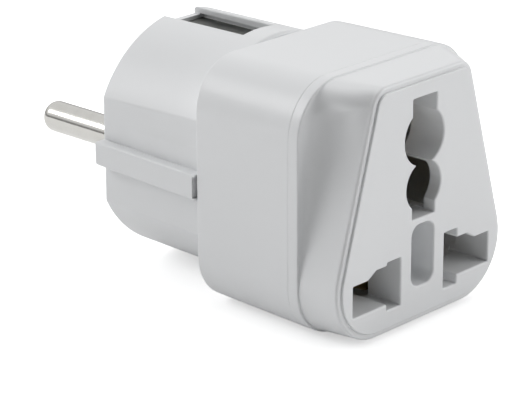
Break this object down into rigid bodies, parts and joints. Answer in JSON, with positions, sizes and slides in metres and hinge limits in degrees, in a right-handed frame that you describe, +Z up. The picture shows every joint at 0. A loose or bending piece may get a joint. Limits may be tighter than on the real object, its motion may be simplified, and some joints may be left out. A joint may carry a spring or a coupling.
{
  "type": "travel plug adapter",
  "caption": "Travel plug adapter with a universal socket face on a rounded block and a round earthed plug with two pins behind it.",
  "frame": {"origin": "middle of the box's base: below the plug axis, halfway between the socket face and the pin tips", "axes": "+Y along the plug pins, away from the socket face; +Z up, from the line and neutral openings towards the earth openings; +X to the right when looking at the socket face"},
  "size_m": [0.0364, 0.0672, 0.0377],
  "materials": {
    "front_shell": "satin",
    "rear_shell": "satin",
    "plug_shell": "satin",
    "carrier": "matt",
    "contact_brass": "rolled",
    "plated_pin": "nickel plated",
    "plated_strap": "nickel plated",
    "screw_steel": "zinc plated"
  },
  "bodies": {
    "root": {"front_cover": "front_shell", "rear_housing": "rear_shell", "plug_base": "plug_shell", "contact_carrier": "carrier", "live_contact": "contact_brass", "neutral_contact": "contact_brass", "earth_contact": "contact_brass", "live_pin": "plated_pin", "neutral_pin": "plated_pin", "earth_strap": "plated_strap", "earth_sleeve": "plated_strap", "clamp_screw": "screw_steel"}
  },
  "joints": []
}
